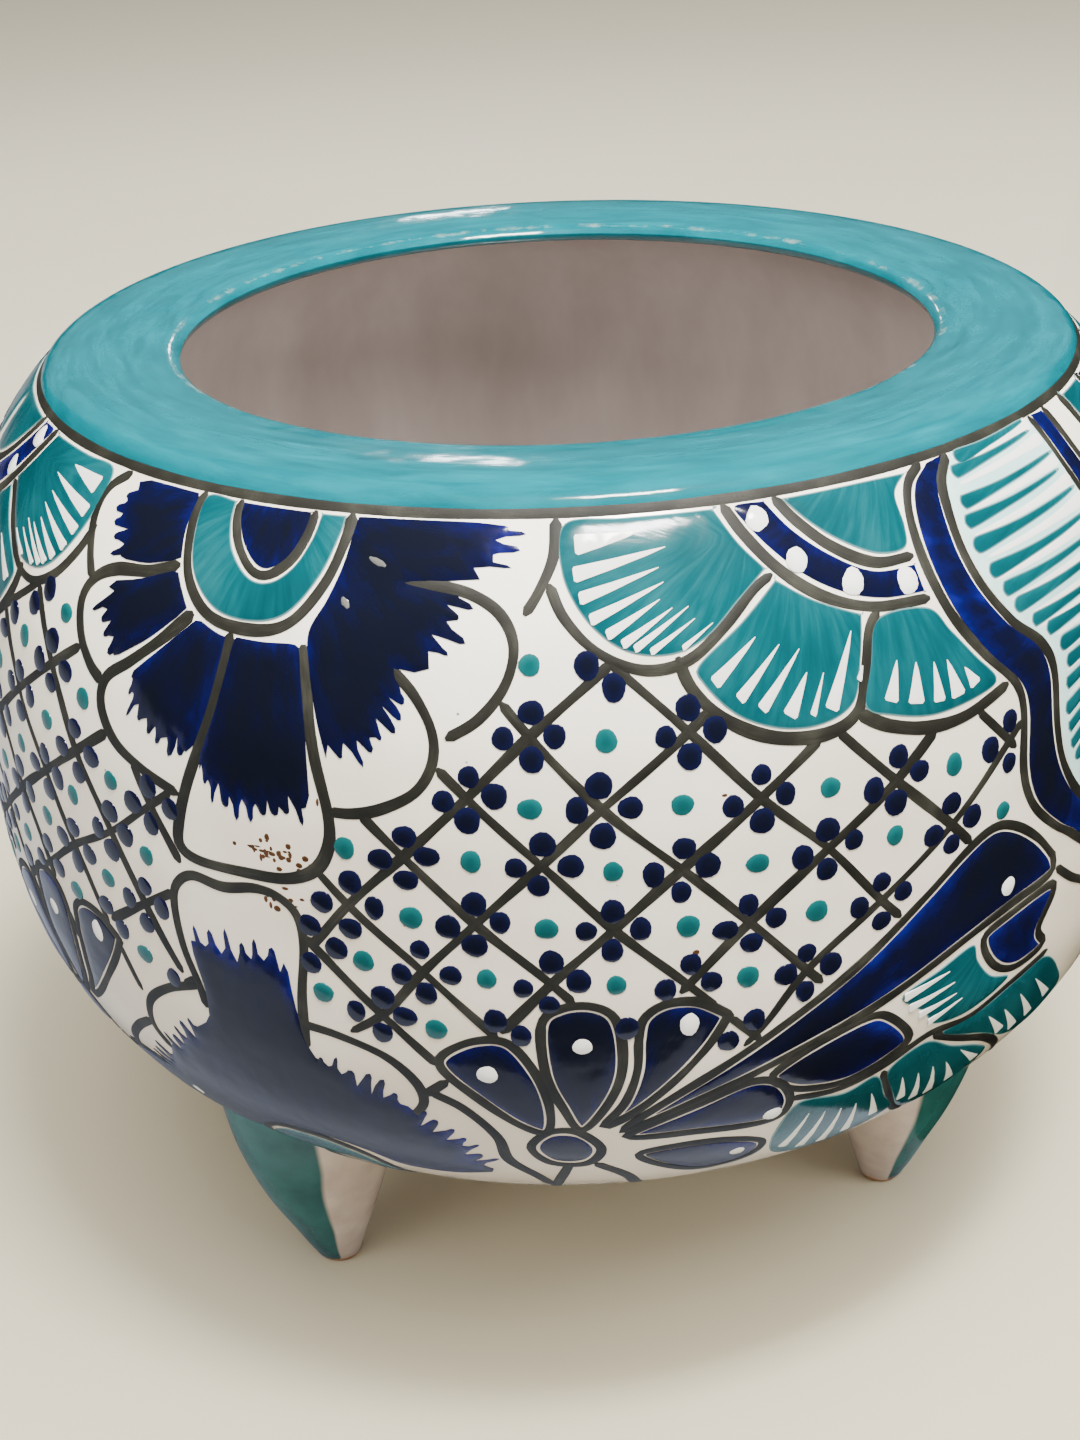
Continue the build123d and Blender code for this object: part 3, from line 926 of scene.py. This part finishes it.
def spray(u, mirrored=False, seed=1, long_side=True, sides=(True, True)):
    """The spray low on the belly: drop petals round a navy eye, one long petal sweeping up to the side."""
    at = Place(u, mirrored, seed)
    drop_petal(at, [(-15, 112), (-22, 111.4), (-29, 115.4), (-29.6, 119.6), (-23, 127), (-14.4, 135.4),
                    (-8.6, 138), (-7.4, 131), (-9.4, 121)], (-20, 120), 2.9)
    drop_petal(at, [(-8.2, 107), (-4, 103), (2, 102.6), (6.6, 105.6), (8.2, 113), (7.6, 122), (4, 131),
                    (-1, 137.4), (-4.6, 130), (-7.8, 120)], (0, 112.4), 2.7)
    drop_petal(at, [(11.6, 112), (12.8, 106.4), (17.4, 103.4), (24, 103.8), (30.4, 108), (30.4, 108),
                    (26.4, 115), (19, 124), (10.6, 132.4), (4, 136.4), (8.6, 129), (11.2, 120)],
               (22, 108.8), 2.6, 3.5)
    if long_side:
        long_petals(at)
    elif sides[1]:
        drop_petal(at, [(9, 138.4), (20, 128), (31, 120), (38, 119), (43, 123), (40, 130), (30, 136),
                        (20, 139.4)], (36, 125), 2.6)
    if not long_side and sides[0]:
        drop_petal(at, [(-12, 138.4), (-22, 131), (-32, 124), (-39, 124), (-43, 129), (-38, 136),
                        (-26, 140.4)], (-36, 130), 2.6)
    drop_petal(at, [(12, 149), (22, 146.4), (33, 147.4), (42, 152), (40, 160), (30, 163.4), (20, 158)],
               (36, 154), 2.2)
    at.fill(COBALT, [(-10.4, 144), (-7.4, 139.6), (-2, 140), (1.4, 145), (-1, 149.8), (-7, 149.6)], (0, 145))
    stroke(LINE, at([(-12.4, 144), (-8, 138), (-1.6, 138.2), (3.4, 145), (0, 152), (-8, 151.4)]), 2.3,
           at.luck, closed=True)
    at.line([(-4, 152), (-7, 164), (-9, 178)], 2.6)
    at.line([(2, 152), (10, 162), (14, 178)], 2.6)
    heart = (0.0, 178.0)
    at.take([(-30, 119), (-16, 124), (-4, 116), (10, 118), (24, 118), (46, 122)], heart)
    if long_side:
        at.take([(18, 128), (60, 104), (92, 86), (114, 97), (142, 118), (130, 170)], heart)


def rising_flower(u, mirrored=False, seed=1):
    """The cobalt flower that grows up from the foot of the pot, under each hanging one."""
    at = Place(u, mirrored, seed)
    heart = (0.0, 176.0)
    at.torn_field([(TORN, [(-50, 158), (-46, 150), (-40, 143), (-34.6, 137.6)]),
                   (TORN, [(-33.6, 135), (-28, 129), (-22.6, 124), (-17, 120.6)]),
                   (PLAIN, [(-15.4, 118), (-15, 112), (-16.6, 102)]),
                   (TORN, [(-16.8, 99), (-10, 98), (-3, 98), (3, 97), (7.2, 98)]),
                   (PLAIN, [(8, 100), (8.8, 110), (10.4, 119)]),
                   (TORN, [(11.6, 121.6), (18, 124), (25, 127), (31.4, 132)]),
                   (TORN, [(32.6, 133.6), (39, 139), (44, 146), (47.6, 156)]),
                   (PLAIN, [(47, 158), (36, 161), (24, 160), (16, 154.6), (6, 151.6), (-6, 151.8),
                            (-15, 157), (-22, 164), (-36, 165), (-49, 161)])], heart, reach=5.0, pitch=3.6)
    at.sleeve([(9.6, 119.4), (10.6, 106), (12.4, 93), (11.6, 85.6), (7.6, 82), (2, 81.2), (-6, 82.8),
               (-14, 82.2), (-19, 86), (-20.4, 92), (-19.4, 101), (-16.8, 110), (-15.6, 116)], 2.5, heart)
    at.line([(-13.6, 120), (-12, 130), (-9, 139)], 1.3)
    at.sleeve([(10, 112.8), (18, 114), (28, 117.6), (34, 123.6), (35.2, 130), (31.4, 136)], 2.4, heart)
    at.sleeve([(37, 126.4), (44, 131), (50.4, 140), (52, 150), (58, 160), (62, 172)], 2.4, heart)
    at.sleeve([(-16.6, 110.4), (-27, 115), (-35, 121.6), (-37.6, 130), (-34, 136)], 2.4, heart)
    at.sleeve([(-38, 129), (-46, 135), (-53, 143), (-56, 153), (-60, 166)], 2.4, heart)
    at.fill(TURQUOISE, [(-19, 178), (-16, 164), (-8, 156), (3, 155), (13, 160), (18, 170), (19, 180),
                        (9, 180), (8, 172), (2, 166), (-4, 166), (-9, 171), (-10, 179)], heart)
    at.line([(-21, 180), (-18, 163), (-9, 154), (4, 153), (15, 158.4), (20.4, 170), (21.4, 180)], 2.5)
    at.fill(COBALT, [(-7, 180), (-6, 173), (0, 169), (6, 173.6), (7, 180)], heart)


def free(spots):
    """Which chart spots no motif has taken, wherever round the pot the motif was drawn."""
    spots = np.atleast_2d(np.asarray(spots, float))
    open_spots = np.ones(len(spots), bool)
    low, high = spots.min(axis=0), spots.max(axis=0)
    if not TAKEN_BOXES:
        TAKEN_BOXES.append(np.array([loop.min(axis=0) for loop in TAKEN]))
        TAKEN_BOXES.append(np.array([loop.max(axis=0) for loop in TAKEN]))
    lows, highs = TAKEN_BOXES
    for turn in (-ROUND, 0.0, ROUND):
        meets = (highs[:, 0] + turn > low[0]) & (lows[:, 0] + turn < high[0])
        meets &= (highs[:, 1] > low[1]) & (lows[:, 1] < high[1])
        for index in np.flatnonzero(meets):
            open_spots &= ~inside(spots, TAKEN[index] + np.array([turn, 0.0]))
    return open_spots


def shaken(spot, reach, luck):
    """The spot, moved a little by the hand's own unsteadiness."""
    return spot + np.array([luck.uniform(-reach, reach), luck.uniform(-reach, reach)])


def ring_round(spot, reach):
    """Four spots round a dot, to see whether it has room."""
    return [spot + np.array(way) for way in ((reach, 0), (-reach, 0), (0, reach), (0, -reach))]


ROUND_A_CROSSING = ((-5.2, 0.4), (5.2, -0.2), (0.2, -4.7), (-0.2, 4.9))
NAVY_ROOM = 1.5
TEAL_ROOM = 2.2
SHORTEST_RUN = 4


def lattice(origin, right, left, across, reach, window, seed):
    """Crossed brush lines with four navy dots round each crossing and a teal dot in each cell."""
    luck = random.Random(seed)
    low, high = window

    def knot(a, b):
        shake = random.Random(seed * 1000 + a * 37 + b)
        step = left if a >= 0 else across
        rows = min(a, 3) + 0.8 * max(a - 3, 0)
        return shaken(np.array(origin) + b * np.array(right) + rows * np.array(step), 0.9, shake)

    def allowed(spots):
        spots = np.atleast_2d(spots)
        return ((spots > low) & (spots < high)).all(axis=1) & free(spots)

    def lay(path):
        path = smooth(path, STROKE_STEP)
        fits = allowed(path)
        start = None
        for index in range(len(path) + 1):
            good = index < len(path) and fits[index]
            if good and start is None:
                start = index
            if not good and start is not None:
                if index - start > SHORTEST_RUN:
                    run = path[start:index:3 if index - start > 9 else 2]
                    stroke(THIN, run, LATTICE_W * luck.uniform(0.85, 1.2), luck)
                start = None

    for a in range(-reach, reach + 1):
        lay([knot(a, b) for b in range(-reach, reach + 1)])
        lay([knot(b, a) for b in range(-reach, reach + 1)])
    for a in range(-reach, reach + 1):
        for b in range(-reach, reach + 1):
            middle = knot(a, b)
            if allowed(middle)[0]:
                for away in ROUND_A_CROSSING:
                    spot = shaken(middle + np.array(away), 0.6, luck)
                    if allowed(ring_round(spot, NAVY_ROOM)).all():
                        size = luck.uniform(2.1, 2.8), luck.uniform(2.2, 3.0)
                        touch(NAVY_DOTS, tuple(spot), *size, luck.random())
            centre = (knot(a, b) + knot(a + 1, b) + knot(a, b + 1) + knot(a + 1, b + 1)) / 4
            centre = shaken(centre, 1.0, luck)
            if allowed(ring_round(centre, TEAL_ROOM)).all():
                size = luck.uniform(2.0, 2.6), luck.uniform(2.1, 2.7)
                touch(TEAL_DOTS, tuple(centre), *size, luck.random())


# Where the freckles are, how far they spread, and how many.
FRECKLES = (((-63.5, 71.5), 3.2, 26), ((-60, 74), 5.0, 12), ((-61, 83), 3.4, 12), ((-4, 64), 34.0, 5))


def paint():
    """The whole painting, round the pot: motifs first, then the lattice in what they leave free."""
    ring = [(-ROUND / 2 + ROUND * step / 24, 0.15) for step in range(24)]
    stroke(LINE, ring, 2.6, random.Random(3), closed=True)
    fan_flower(82, seed=11)
    shell_flower(197, seed=21)
    fan_flower(312, mirrored=True, seed=12)
    fan_flower(-207, seed=13)
    fan_flower(-207, mirrored=True, seed=14)
    for index, (middle, mirrored) in enumerate(((-68, False), (462, True), (598, False))):
        hanging_flower(middle, mirrored, seed=31 + index)
        rising_flower(middle - 2, mirrored, seed=41 + index)
    spray(0, seed=51)
    spray(394, mirrored=True, seed=52)
    for index, (middle, sides) in enumerate(((-142, (True, False)), (530, (False, False)),
                                             (668, (False, True)))):
        spray(middle, seed=53 + index, long_side=False, sides=sides)
    lattice((-8, 43), (14, 14.6), (-12.7, 12.8), (-16.5, 12.8), 9, ((-60, 27), (118, 128)), seed=61)
    lattice((-127, 46.5), (9.2, 16), (-15.5, 10.5), (-15.5, 10.5), 9, ((-236, 24), (-84, 128)), seed=62)
    lattice((386, 43), (14, 14.6), (-14, 13), (-14, 13), 9, ((286, 24), (452, 118)), seed=63)
    lattice((530, 43), (14, 14.6), (-14, 13), (-14, 13), 9, ((470, 2), (592, 128)), seed=64)
    lattice((668, 43), (14, 14.6), (-14, 13), (-14, 13), 9, ((604, 24), (706, 128)), seed=65)
    freckle = random.Random(71)
    for middle, spread, count in FRECKLES:
        for drop in range(count):
            spot = (middle[0] + freckle.gauss(0, spread), middle[1] + freckle.gauss(0, spread * 0.5))
            touch(RUST, spot, freckle.uniform(0.2, 0.9), freckle.uniform(0.2, 0.9), freckle.random())


# ---------------------------------------------------------------- the clay


def turned_piece(name, outline):
    """A closed half section, drawn as a wire and spun about the axis."""
    bpy.ops.object.select_all(action="DESELECT")
    wire = [(r * MM, 0.0, z * MM) for r, z in outline]
    piece = add_object(name, wire, edges=[(index, index + 1) for index in range(len(wire) - 1)])
    bpy.context.view_layer.objects.active = piece
    piece.select_set(True)
    bpy.ops.object.mode_set(mode="EDIT")
    bpy.ops.mesh.select_all(action="SELECT")
    bpy.ops.mesh.spin(steps=TURNS, angle=2 * math.pi, center=(0, 0, 0), axis=(0, 0, 1))
    bpy.ops.mesh.select_all(action="SELECT")
    bpy.ops.mesh.remove_doubles(threshold=0.00002)
    bpy.ops.mesh.select_all(action="SELECT")
    bpy.ops.mesh.normals_make_consistent(inside=False)
    bpy.ops.object.mode_set(mode="OBJECT")
    return piece


def hand_make(piece):
    """Gives a truly round piece the slow waves of the hand-made form."""
    mesh = piece.data
    spots = np.empty(len(mesh.vertices) * 3)
    mesh.vertices.foreach_get("co", spots)
    spots = spots.reshape(-1, 3) / MM
    angle = np.arctan2(spots[:, 0], -spots[:, 1])
    moved = uneven(angle, np.hypot(spots[:, 0], spots[:, 1]), spots[:, 2])
    mesh.vertices.foreach_set("co", (moved * MM).ravel())
    mesh.update()
    return spots


def line_inside(piece, glaze, lined):
    """Gives the inner glaze to the faces whose points are all marked as lined."""
    piece.data.materials.append(glaze)
    for face in piece.data.polygons:
        if all(lined[corner] for corner in face.vertices):
            face.material_index = 1


INNER_SHOULDER_R = SHOULDER_R - WALL * 0.7


def body_shell(outside_glaze, inner_glaze):
    """The belly: white outside, where the painting goes, and the thin inner glaze in the hollow, grey with
    painted shade.
    """
    outside = np.column_stack([TABLE_R, TABLE_Z])[TABLE_S >= 0]
    outside = smooth(outside[::6], 3.0)
    inner = belly_outline(WALL - ENAMEL_ROOM, INNER_SHOULDER_R)
    inner = smooth(inner[::6], 5.0)
    outline = [(0.0, outside[-1][1])] + list(outside[::-1]) + list(inner) + [(0.0, inner[-1][1])]
    piece = turned_piece("painted_body", outline)
    spots = hand_make(piece)
    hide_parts("body_shell")
    settle(piece, outside_glaze)
    radius = np.hypot(spots[:, 0], spots[:, 1])
    edge_r = np.interp(spots[:, 2], TABLE_Z[::-1], TABLE_R[::-1])
    # The hollow takes the inside glaze, whose grey-mauve is painted shade.
    line_inside(piece, inner_glaze, (edge_r - radius > 3.0) & (spots[:, 2] > BOTTOM_Z + 4))


LIP_R = 93.5
RIM_MIDDLE_R = 108.0


def rim_ring(material, inner_glaze):
    """The turned-in rim, with a brush map that goes round it and the wear of its lip."""
    outside = smooth(RIM_OUTSIDE, 1.2)
    inner_end = belly_outline(WALL - ENAMEL_ROOM, INNER_SHOULDER_R)[0]
    lip = smooth(list(RIM_INSIDE) + [tuple(inner_end)], 1.2)
    outline = list(outside[::-1]) + list(lip[1:]) + [outside[-1]]
    piece = turned_piece("turned_rim", outline)
    spots = hand_make(piece)
    mesh = piece.data
    radius = np.hypot(spots[:, 0], spots[:, 1])
    on_top = (spots[:, 2] > CROWN_Z - 3).astype(np.float32)
    note_points(mesh, "wear", np.clip(1 - np.abs(radius - LIP_R) / 3.0, 0, 1) * on_top)
    corners = corner_points(mesh)
    turn = np.arctan2(spots[:, 0], -spots[:, 1])[corners]
    # A face across the seam at the back is mapped on one side of it.
    for face in mesh.polygons:
        loops = list(face.loop_indices)
        if turn[loops].max() - turn[loops].min() > math.pi:
            turn[loops] = np.where(turn[loops] < 0, turn[loops] + 2 * math.pi, turn[loops])
    map_brush(mesh, np.column_stack([turn * RIM_MIDDLE_R, radius[corners]]))
    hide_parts("rim_collar")
    settle(piece, material)
    # The lip's inner face and underside take the inside glaze too: its grey-mauve is painted shade, keeping
    # the lip as dim as the hollow.
    line_inside(piece, inner_glaze, (radius < 121.0) & (spots[:, 2] < CROWN_Z - 5.8))


FOOT_OUTLINE = ((5.0, 0.0), (5.8, 0.7), (6.6, 3.0), (8.6, 8.0), (11.2, 15.0), (17.0, 31.0), (21.1, 50.0),
                (22.9, 78.0))
FOOT_CIRCLE_R = 87.0
FOOT_LEAN = math.radians(5.0)
FOOT_SIDES = 64
PAD_HEIGHT = 6.0
RUN_IN = 2.5


def foot(node, material):
    """A leaning bell on its small pad, running up into the belly where the CAD foot stands."""
    low, high = (np.array(corner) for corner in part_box(node))
    outward = (low + high)[:2] / np.linalg.norm((low + high)[:2])
    pad = outward * FOOT_CIRCLE_R
    turns = 2 * math.pi * np.arange(FOOT_SIDES) / FOOT_SIDES
    below = TABLE_S > np.interp(EQUATOR_Z, TABLE_Z[::-1], TABLE_S[::-1])
    places, faces, facing = [], [], []
    for size, height in smooth(FOOT_OUTLINE, 2.2):
        wave = 1 + 0.03 * np.sin(3 * turns + pad[0]) * min(1.0, height / 20)
        share = min(1.0, height / PAD_HEIGHT)
        x = pad[0] + outward[0] * height * math.tan(FOOT_LEAN) + size * wave * np.cos(turns)
        y = pad[1] + outward[1] * height * math.tan(FOOT_LEAN) + size * wave * np.sin(turns)
        tilt = (x - pad[0]) * outward[0] + (y - pad[1]) * outward[1] - height * math.tan(FOOT_LEAN)
        rise = height - share * tilt * math.sin(FOOT_LEAN)
        belly = np.interp(np.hypot(x, y), TABLE_R[below][::-1], TABLE_Z[below][::-1])
        places.append(np.column_stack([x, y, np.clip(rise, 0, belly + RUN_IN)]))
        facing.append(np.cos(turns) * outward[0] + np.sin(turns) * outward[1])
    rings = len(places)
    places = np.vstack(places + [np.append(pad, 0.0)[None], places[-1].mean(axis=0)[None]])
    facing = np.concatenate(facing + [[0.0, 0.0]])
    base, crown = rings * FOOT_SIDES, rings * FOOT_SIDES + 1
    for ring in range(rings - 1):
        for side in range(FOOT_SIDES):
            other = (side + 1) % FOOT_SIDES
            low_ring, high_ring = ring * FOOT_SIDES, (ring + 1) * FOOT_SIDES
            faces.append((low_ring + side, low_ring + other, high_ring + other, high_ring + side))
    last = (rings - 1) * FOOT_SIDES
    for side in range(FOOT_SIDES):
        other = (side + 1) % FOOT_SIDES
        faces.append((other, side, base))
        faces.append((last + side, last + other, crown))
    piece = add_object("glazed_" + node, places * MM, faces=faces)
    note_points(piece.data, "outward", facing.astype(np.float32) * 0.5 + 0.5)
    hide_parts(node)
    settle(piece, material)


def clay():
    """Every piece of clay in its glaze."""
    inner_glaze = inside_glaze()
    body_shell(white_ground(), inner_glaze)
    rim_ring(rim_glaze(), inner_glaze)
    feet_glaze = foot_glaze()
    for node in ("foot_front_left", "foot_front_right", "foot_rear"):
        foot(node, feet_glaze)


# ---------------------------------------------------------------- floor, light and camera


TABLE = ((3.2, -0.26), (3.2, 3.2), (-3.2, 3.2), (-3.2, -0.26))
MIRRORED_TABLE = ((0.09, -0.26), (0.105, 0.12), (0.71, 2.15), (0.95, 3.2), (-3.2, 3.2), (-3.2, -0.26))


def sheet(name, corners, level, near, far):
    """One flat sheet of the table top, warm and a little uneven in tone, darker in front and lighter towards
    the back as painted light.
    """
    top = add_object(name, [(x, y, level) for x, y in corners], faces=[tuple(range(len(corners)))])
    mix = Recipe(name.replace("_", " "))
    depth = mix.node("ShaderNodeSeparateXYZ", {"Vector": mix.place()}).outputs["Y"]
    depth = mix.maths("MULTIPLY_ADD", mix.noise(mix.place(), 3.0, 3.0), 0.3, depth)
    # Darker in front and lighter towards the back: painted light, standing in for the brighter room far
    # behind.
    colour = mix.ramp(mix.maths("MULTIPLY", depth, 0.4), (0.0, near), (0.6, far))
    top.data.materials.append(mix.finish(base_color=colour, roughness=0.5))
    return top


def floor_sheet():
    """A pale table top, and over it a dimmer one that only the glaze mirrors: a painted reflection of a
    darker room.
    """
    table = sheet("studio_floor", TABLE, -0.0003, (0.44, 0.40, 0.30), (0.92, 0.86, 0.68))
    table.visible_glossy = False
    # A dim bluish sheet seen only in the glaze: painted reflection of a darker room in front of the pot.
    dim = sheet("studio_floor_painted_reflection", MIRRORED_TABLE, -0.0002, (0.20, 0.225, 0.29), (0.34, 0.36, 0.40))
    dim.visible_camera = dim.visible_diffuse = dim.visible_shadow = False


def soft_light(name, place, aim, size, power, colour, mirrored=True):
    """An even panel of light; the glaze shows its reflection only where it is mirrored."""
    lamp = bpy.data.lights.new(name, "AREA")
    lamp.shape = "RECTANGLE"
    lamp.size, lamp.size_y = size
    lamp.energy = power
    lamp.color = colour
    light = bpy.data.objects.new(name, lamp)
    bpy.context.scene.collection.objects.link(light)
    light.location = place
    light.rotation_euler = (Vector(aim) - Vector(place)).to_track_quat("-Z", "Y").to_euler()
    light.visible_glossy = mirrored


def lights():
    """A lamp, a window and a wall behind that the glaze mirrors, and soft fill that it doesn't."""
    world = bpy.context.scene.world or bpy.data.worlds.new("studio")
    bpy.context.scene.world = world
    world.use_nodes = True
    world.node_tree.nodes["Background"].inputs["Color"].default_value = (1.0, 0.965, 0.905, 1)
    world.node_tree.nodes["Background"].inputs["Strength"].default_value = 0.35
    world.cycles_visibility.glossy = False
    soft_light("overhead", (0.24, -0.56, 1.58), (0, 0, 0.15), (0.36, 0.2), 48.0, (1.0, 0.98, 0.93))
    soft_light("ceiling", (0.24, -0.56, 1.62), (0, 0, 0.15), (1.7, 1.3), 84.0, (1.0, 0.98, 0.93),
               mirrored=False)
    soft_light("window", (-0.10, 1.75, 0.72), (0, 0, 0.24), (0.08, 0.10), 0.8, (0.97, 0.99, 1.0))
    soft_light("back_wall", (0.0, 3.2, 1.5), (0, 0, 0.4), (5.0, 2.2), 6.0, (1.0, 0.98, 0.94))
    soft_light("front_left", (-1.35, -1.25, 1.35), (0, 0, 0.12), (1.0, 0.8), 20.0, (1.0, 0.97, 0.91),
               mirrored=False)
    soft_light("front_right", (1.3, -1.0, 1.2), (0, 0, 0.12), (0.8, 0.8), 14.0, (1.0, 0.975, 0.92),
               mirrored=False)


EYE_TURN, EYE_TIP, EYE_ROLL = -0.0159, 0.4641, -0.0456
EYE_BACK = 0.4979
EYE_OVER_SHOULDER = 0.1433


def camera():
    """The eye a little over half a metre off, looking down on the rim, rolled slightly to one side."""
    turn, tip, roll = EYE_TURN, EYE_TIP, EYE_ROLL
    ahead = Vector((math.sin(turn) * math.cos(tip), math.cos(turn) * math.cos(tip), -math.sin(tip)))
    level = Vector((math.cos(turn), -math.sin(turn), 0))
    top = level.cross(ahead)
    right = math.cos(roll) * level + math.sin(roll) * top
    up = -math.sin(roll) * level + math.cos(roll) * top
    eye = bpy.data.cameras.new("eye")
    eye.lens = 52.5
    eye.sensor_width = 36.0
    eye.clip_start = 0.02
    view = bpy.data.objects.new("eye", eye)
    bpy.context.scene.collection.objects.link(view)
    stand = Matrix((right, up, -ahead)).transposed().to_4x4()
    stand.translation = Vector((0.0, -EYE_BACK, SHOULDER_Z * MM + EYE_OVER_SHOULDER))
    view.matrix_world = stand
    bpy.context.scene.camera = view


clay()
paint()
for coat in COATS:
    coat.piece()
floor_sheet()
lights()
camera()
